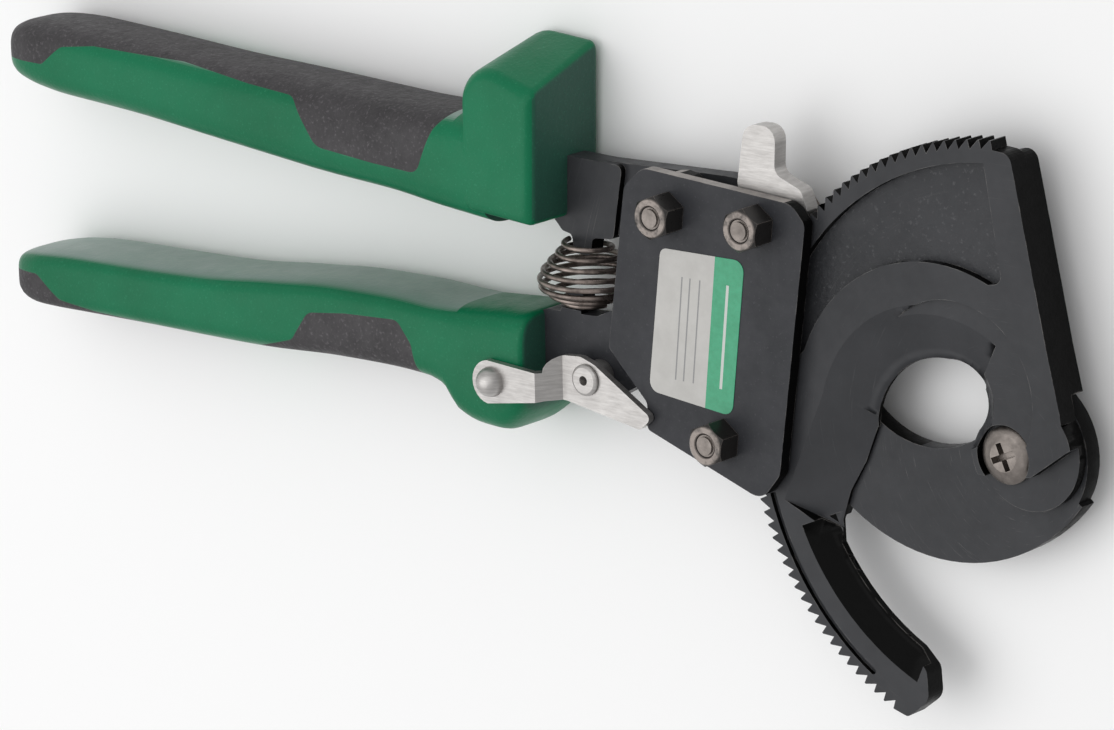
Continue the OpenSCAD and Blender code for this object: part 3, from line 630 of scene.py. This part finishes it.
def inlaid_grip(name, stations, square, material, zones, end_round):
    """A grip whose inlays are cut out of it as separate pieces, so that the seam is a real line."""
    body = grip_body(name, stations, square, material, end_round)
    inlays = []
    for inlay_name, corners in zones:
        inlay = grip_body(inlay_name, stations, square, grey, end_round)
        zone = prism("zone", rounded_outline(corners), ZONE_LOW, ZONE_HIGH)
        combine(inlay, zone, "INTERSECT", keep_other=True)
        combine(body, zone, "DIFFERENCE")
        soften(inlay, SEAM_ROUND, 2)
        inlays.append(inlay)
    return body, inlays


# corner heights of the hand guard, front (towards +Z) and back, in millimetres
GUARD_LEFT, GUARD_RIGHT = -114.7, -97.6
GUARD_FOOT_LEFT, GUARD_FOOT_RIGHT = 28.0, 26.9
GUARD_TOP_LEFT_FRONT, GUARD_TOP_LEFT_BACK = 56.6, 59.6
GUARD_TOP_RIGHT_FRONT, GUARD_TOP_RIGHT_BACK = 51.2, 58.6
GUARD_ROUND = 2.2
# radii of the outline's corners, and how far the right foot stands in
FOOT_LEFT_R, FOOT_RIGHT_R, TOP_RIGHT_R, TOP_LEFT_R = 2.2, 1.4, 1.6, 6.5
FOOT_RIGHT_IN = 0.6


def guard_ring(z, inset):
    """The guard's outline at depth z, moved in by inset."""
    back = (GRIP_Z + GRIP_DEPTH - z) / (2 * GRIP_DEPTH)
    left_top = GUARD_TOP_LEFT_FRONT + (GUARD_TOP_LEFT_BACK - GUARD_TOP_LEFT_FRONT) * back
    right_top = GUARD_TOP_RIGHT_FRONT + (GUARD_TOP_RIGHT_BACK - GUARD_TOP_RIGHT_FRONT) * back
    corners = [
        (GUARD_LEFT + inset, GUARD_FOOT_LEFT + inset, FOOT_LEFT_R),
        (GUARD_RIGHT - FOOT_RIGHT_IN - inset, GUARD_FOOT_RIGHT + inset, FOOT_RIGHT_R),
        (GUARD_RIGHT - inset, right_top - inset, TOP_RIGHT_R),
        (GUARD_LEFT + inset, left_top - inset, TOP_LEFT_R - inset)]
    return [(x, y, z) for x, y in rounded_outline(corners, 9)]


def guard_block():
    steps = 6
    front, back = GRIP_Z + GRIP_DEPTH, GRIP_Z - GRIP_DEPTH
    turns = [math.pi / 2 * k / steps for k in range(steps + 1)]
    depths = [(GUARD_ROUND * (1 - math.cos(a)), GUARD_ROUND * (1 - math.sin(a))) for a in turns]
    rings = [guard_ring(back + depth, inset) for depth, inset in depths]
    rings += [guard_ring(front - depth, inset) for depth, inset in reversed(depths)]
    points, faces = skin(rings)
    return add_piece("guard", points, faces, green, 60.0)


def make_upper_grip():
    body, (inlay,) = inlaid_grip("upper_grip_moulded", UPPER_STATIONS, UPPER_SQUARE, green,
                                 [("upper_inlay_moulded", UPPER_ZONE)], 0.0)
    combine(body, guard_block(), "UNION")
    soften(body, SEAM_ROUND, 2)
    for piece, node, slot in ((body, "upper_grip", "green_plastic"), (inlay, "upper_inlay", "grey_rubber")):
        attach(piece, "root")
        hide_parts(node)


def make_lower_grip():
    body, (main, end) = inlaid_grip("lower_grip_moulded", LOWER_STATIONS, LOWER_SQUARE, green, [
        ("lower_inlay_moulded", LOWER_ZONE), ("lower_end_inlay_moulded", END_ZONE)], LOWER_END_ROUND)
    soften(body, SEAM_ROUND, 2)
    for piece, node, slot in ((body, "lower_grip", "green_plastic"), (main, "lower_inlay", "grey_rubber"),
                              (end, "lower_end_inlay", "grey_rubber")):
        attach(piece, "lever")
        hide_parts(node)


# ---------------------------------------------------------------- springs
def sweep(centres, radius, sides=12):
    """Rings of a round wire along a line of points."""
    rings = []
    up = Vector((0, 1, 0))
    for i, c in enumerate(centres):
        along = (centres[min(i + 1, len(centres) - 1)] - centres[max(i - 1, 0)]).normalized()
        side = along.cross(up).normalized()
        top = side.cross(along)
        rings.append([tuple(c + radius * (math.cos(2 * math.pi * k / sides) * side
                                          + math.sin(2 * math.pi * k / sides) * top)) for k in range(sides)])
    return rings


SPRING_X, SPRING_Z, SPRING_FOOT, SPRING_TOP = -94.3, 0.5, 11.2, 23.4
WIRE = 0.5
TURNS = 7.5
END_COIL, WIDE_COIL = 4.1, 8.7
# how far up the coil is widest, how square its belly is, and how much closer it is wound at the foot
WIDEST_AT = 0.4
BELLY_POWER = 1.4
RISE_POWER = 1.12
STEPS_A_TURN = 40


def make_handle_spring():
    """The barrel spring, wound close at the foot and open at the top."""
    steps = int(TURNS * STEPS_A_TURN)
    centres = []
    for i in range(steps + 1):
        t = i / steps
        swell = t / WIDEST_AT if t < WIDEST_AT else (1 - t) / (1 - WIDEST_AT)
        belly = math.sin(math.pi / 2 * swell) ** BELLY_POWER
        radius = END_COIL + (WIDE_COIL - END_COIL) * belly
        turn = 2 * math.pi * TURNS * t
        rise = t ** RISE_POWER
        centres.append(Vector((SPRING_X + radius * math.cos(turn),
                               SPRING_FOOT + WIRE + (SPRING_TOP - SPRING_FOOT - 2 * WIRE) * rise,
                               SPRING_Z + radius * math.sin(turn))))
    points, faces = skin(sweep(centres, WIRE))
    spring = add_piece("handle_spring_wire", points, faces, wire, 60.0)
    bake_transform(spring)
    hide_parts("handle_spring")


# ---------------------------------------------------------------- CAD nodes
# polygons that turn this way by more than this much take the material of the sides, darkened as painted
# shade
SIDE_WAY = Vector((1.0, 0.3, 0.0))
SIDE_FROM = 0.36
# metres
WELD_M = 2e-6
EDGE_ANGLE = math.radians(38)


def dress_cad(node, material, round_mm, sides):
    """Gives a CAD node its material, the painted-shade material on its sides where one is given, and, where
    asked, a small real rounding of its edges.
    """
    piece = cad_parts[node]
    piece.data.materials.clear()
    piece.data.materials.append(material)
    if sides is not None:
        piece.data.materials.append(sides)
    for polygon in piece.data.polygons:
        polygon.material_index = int(sides is not None and polygon.normal.dot(SIDE_WAY) > SIDE_FROM)
    if round_mm:
        weld = piece.modifiers.new("weld", "WELD")
        weld.merge_threshold = WELD_M
        bevel = piece.modifiers.new("round", "BEVEL")
        bevel.width = round_mm * MM
        bevel.segments = 2
        bevel.limit_method = "ANGLE"
        bevel.angle_limit = EDGE_ANGLE


make_camera()
make_world()
make_floor()
for light in LIGHTS:
    make_area(*light)

green = green_plastic()
grey = grey_rubber()
wire = spring_wire()
plated = zinc()
steel = bare_steel()
black = black_steel()
# dark: painted shade for the blades' and plates' sides that turn towards +X
dark = painted_shade_sides()
make_upper_grip()
make_lower_grip()
make_handle_spring()

# node, material, rounding of its edges in millimetres, material of its sides (darker, as painted shade)
DRESS = [
    ("fixed_blade_frame", blade_steel("fixed_blade_steel", 0.8, False), 0.25, dark),
    ("moving_blade", blade_steel("moving_blade_steel", 0.3, True), 0.25, dark),
    ("front_plate", black, 0.25, dark),
    ("lever", black, 0.25, dark),
    ("housing_nuts", black_oxide(), 0.15, None),
    ("housing_bolts", steel, 0.1, None),
    ("spacer_sleeves", steel, 0.0, None),
    ("pivot_nut", steel, 0.15, None),
    ("pivot_washer", steel, 0.0, None),
    ("pivot_screw", steel, 0.12, None),
    ("release_lever", plated, 0.3, None),
    ("latch", plated, 0.2, None),
    ("latch_rivet", plated, 0.1, None),
    ("latch_button", plated, 0.0, None),
    ("drive_pawl", steel, 0.2, None),
    ("pawl_pin", steel, 0.0, None),
    ("release_spring", wire, 0.0, None),
    ("pawl_spring", wire, 0.0, None),
    ("label", label_film(), 0.0, None),
]
for row in DRESS:
    dress_cad(*row)

scene.view_settings.view_transform = "Standard"
